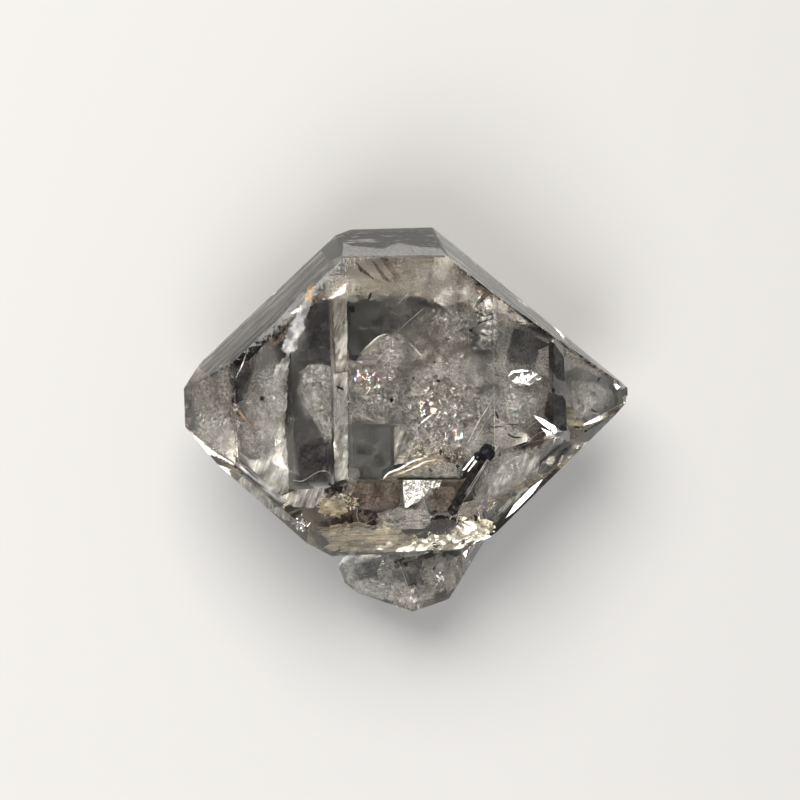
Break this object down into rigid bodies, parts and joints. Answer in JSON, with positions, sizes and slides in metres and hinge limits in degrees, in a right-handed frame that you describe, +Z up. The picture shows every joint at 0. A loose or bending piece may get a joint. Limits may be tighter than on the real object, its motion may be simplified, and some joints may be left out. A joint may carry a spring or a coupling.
{
  "type": "herkimer diamond crystal",
  "caption": "Clear double-pointed quartz crystal, broad and flat, with a small crystal grown out of its lower side.",
  "frame": {"origin": "middle of the footprint, on the plane that the crystal rests on", "axes": "+X along the growth axis of the large crystal, towards its long pointed end; +Z up, out of the broad top face; the small crystal is on the -Y side"},
  "size_m": [0.0562, 0.0481, 0.0226],
  "materials": {
    "crystal": "clear natural quartz, faintly smoky, with flat bright faces"
  },
  "bodies": {
    "root": {"herkimer_crystal": "crystal"}
  },
  "joints": []
}
